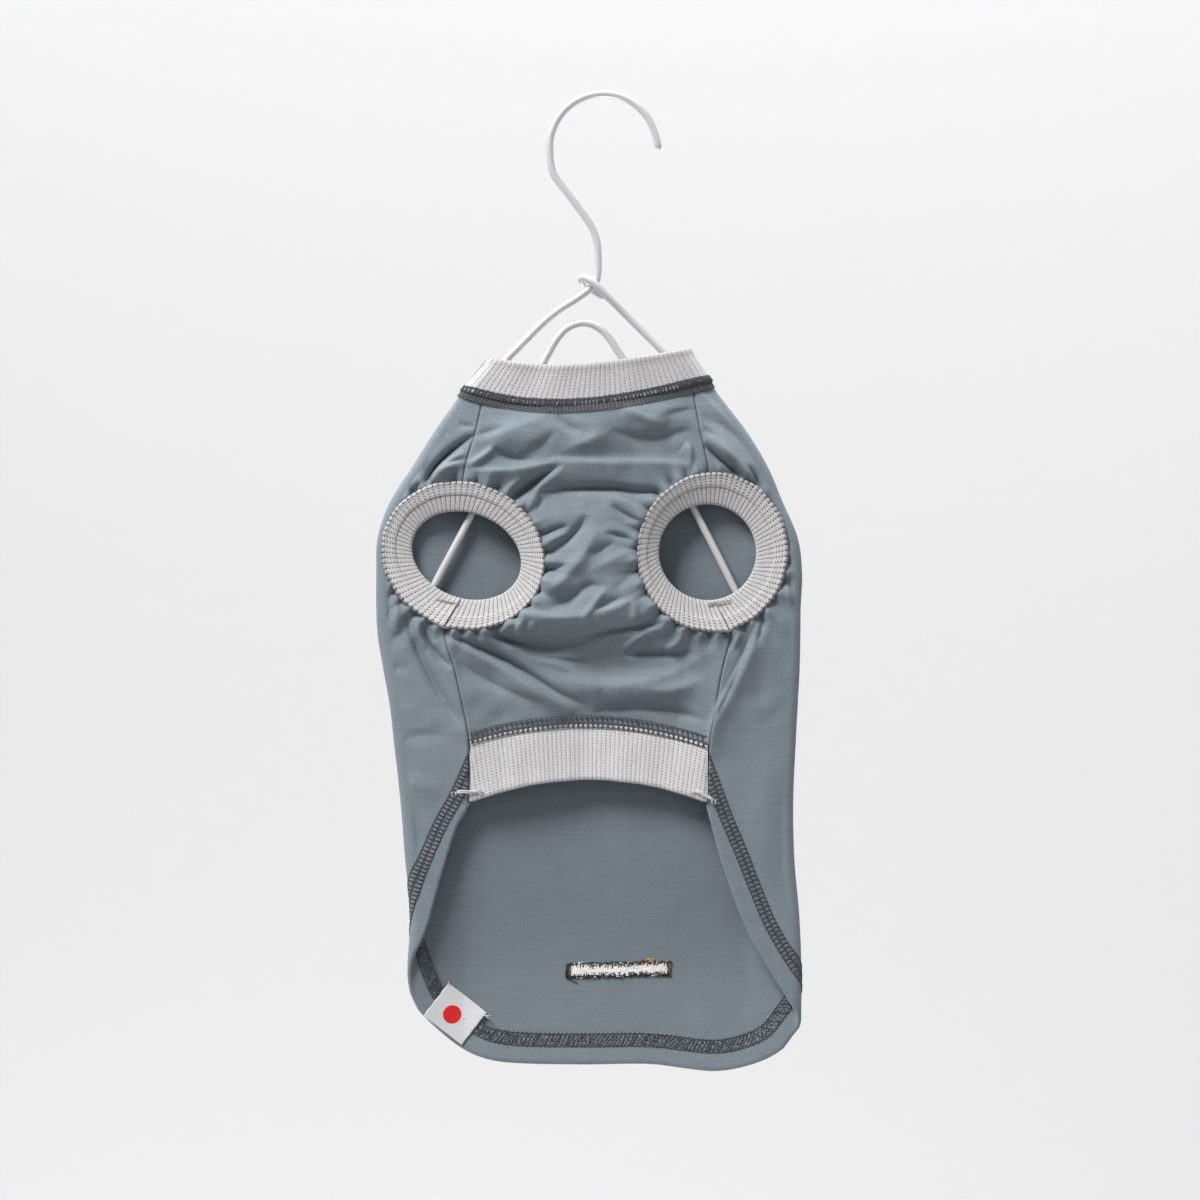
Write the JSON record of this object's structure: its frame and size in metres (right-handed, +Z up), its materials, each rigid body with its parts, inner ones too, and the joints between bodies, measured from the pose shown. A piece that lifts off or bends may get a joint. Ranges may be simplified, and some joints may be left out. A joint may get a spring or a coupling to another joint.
{
  "type": "pet t-shirt on a wire hanger",
  "caption": "Small-dog T-shirt with ribbed neck, leg rings and belly band, hung belly side out on a painted wire hanger.",
  "frame": {"origin": "inner face of the crown of the hanger's hook, where it rests on a rail", "axes": "+Z up; the belly side faces -Y and the back faces +Y; +X is to the right seen from the belly side"},
  "size_m": [0.1794, 0.0187, 0.4118],
  "materials": {
    "jersey": "matt blue-grey cotton jersey",
    "rib_knit": "matt pale grey cotton rib",
    "stitching": "charcoal thread, flat coverstitch",
    "label": "smooth white woven tape with a red disc",
    "embroidery": "cream thread with a charcoal edge",
    "painted_wire": "satin off-white paint on round wire"
  },
  "bodies": {
    "root": {"back_panel": "jersey", "belly_panel": "jersey", "collar_rib": "rib_knit", "leg_rib_left": "rib_knit", "leg_rib_right": "rib_knit", "belly_rib": "rib_knit", "flag_label": "label", "embroidery_inside": "embroidery", "embroidery_outside": "embroidery", "wire_hanger": "painted_wire"}
  },
  "joints": []
}
